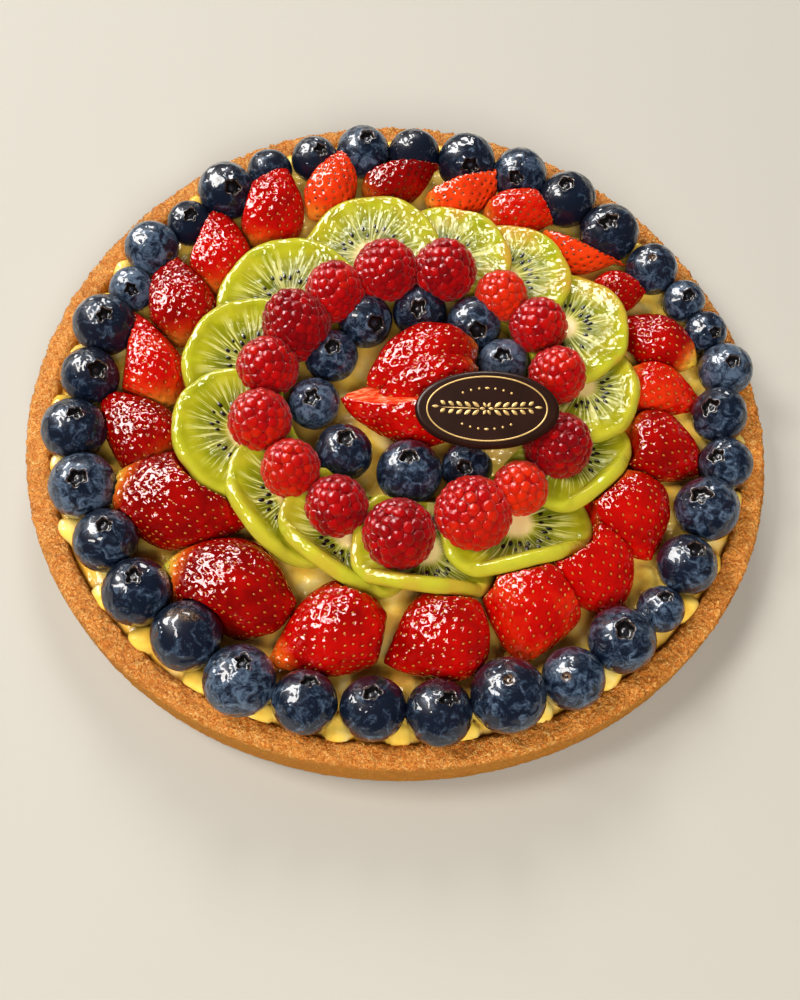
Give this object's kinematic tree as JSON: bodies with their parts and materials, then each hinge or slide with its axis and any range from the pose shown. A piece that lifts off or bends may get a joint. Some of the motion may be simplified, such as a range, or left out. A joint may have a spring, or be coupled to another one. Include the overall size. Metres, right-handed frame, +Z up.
{
  "type": "fruit tart",
  "caption": "Round shortcrust tart filled with custard and topped with rings of dark round berries, strawberries, kiwi slices and red cane berries, with an oval chocolate plaque.",
  "frame": {"origin": "middle of the crust's flat underside, on the surface that the tart stands on", "axes": "+Z up, +X to the right and +Y to the back as the tart is shown, with the plaque's long side along X"},
  "size_m": [0.2227, 0.2187, 0.0443],
  "materials": {
    "shortcrust": "matte, sandy",
    "custard": "satin, glazed",
    "blueberry": "satin skin with a pale bloom",
    "kiwi": "wet, glazed",
    "strawberry": "wet, glazed",
    "raspberry": "satin, glazed",
    "cut_strawberry": "wet, glazed",
    "chocolate": "satin"
  },
  "bodies": {
    "root": {"crust": "shortcrust", "custard": "custard", "blueberries-outer-1": "blueberry", "blueberries-outer-2": "blueberry", "blueberries-outer-3": "blueberry", "blueberries-outer-4": "blueberry", "blueberries-outer-5": "blueberry", "blueberries-inner-back": "blueberry", "blueberries-inner-front": "blueberry", "kiwi-01": "kiwi", "kiwi-02": "kiwi", "kiwi-03": "kiwi", "kiwi-04": "kiwi", "kiwi-05": "kiwi", "kiwi-06": "kiwi", "kiwi-07": "kiwi", "kiwi-08": "kiwi", "kiwi-09": "kiwi", "kiwi-10": "kiwi", "kiwi-11": "kiwi", "kiwi-12": "kiwi", "kiwi-13": "kiwi", "strawberry-01": "strawberry", "strawberry-02": "strawberry", "strawberry-03": "strawberry", "strawberry-04": "strawberry", "strawberry-05": "strawberry", "strawberry-06": "strawberry", "strawberry-07": "strawberry", "strawberry-08": "strawberry", "strawberry-09": "strawberry", "strawberry-10": "strawberry", "strawberry-11": "strawberry", "strawberry-12": "strawberry", "strawberry-13": "strawberry", "strawberry-14": "strawberry", "strawberry-15": "strawberry", "strawberry-16": "strawberry", "strawberry-17": "strawberry", "strawberry-18": "strawberry", "strawberry-19": "strawberry", "strawberry-20": "strawberry", "strawberry-21": "strawberry", "raspberry-01": "raspberry", "raspberry-02": "raspberry", "raspberry-03": "raspberry", "raspberry-04": "raspberry", "raspberry-05": "raspberry", "raspberry-06": "raspberry", "raspberry-07": "raspberry", "raspberry-08": "raspberry", "raspberry-09": "raspberry", "raspberry-10": "raspberry", "raspberry-11": "raspberry", "raspberry-12": "raspberry", "raspberry-13": "raspberry", "raspberry-14": "raspberry", "raspberry-15": "raspberry", "strawberry-middle": "cut_strawberry", "plaque": "chocolate"}
  },
  "joints": []
}
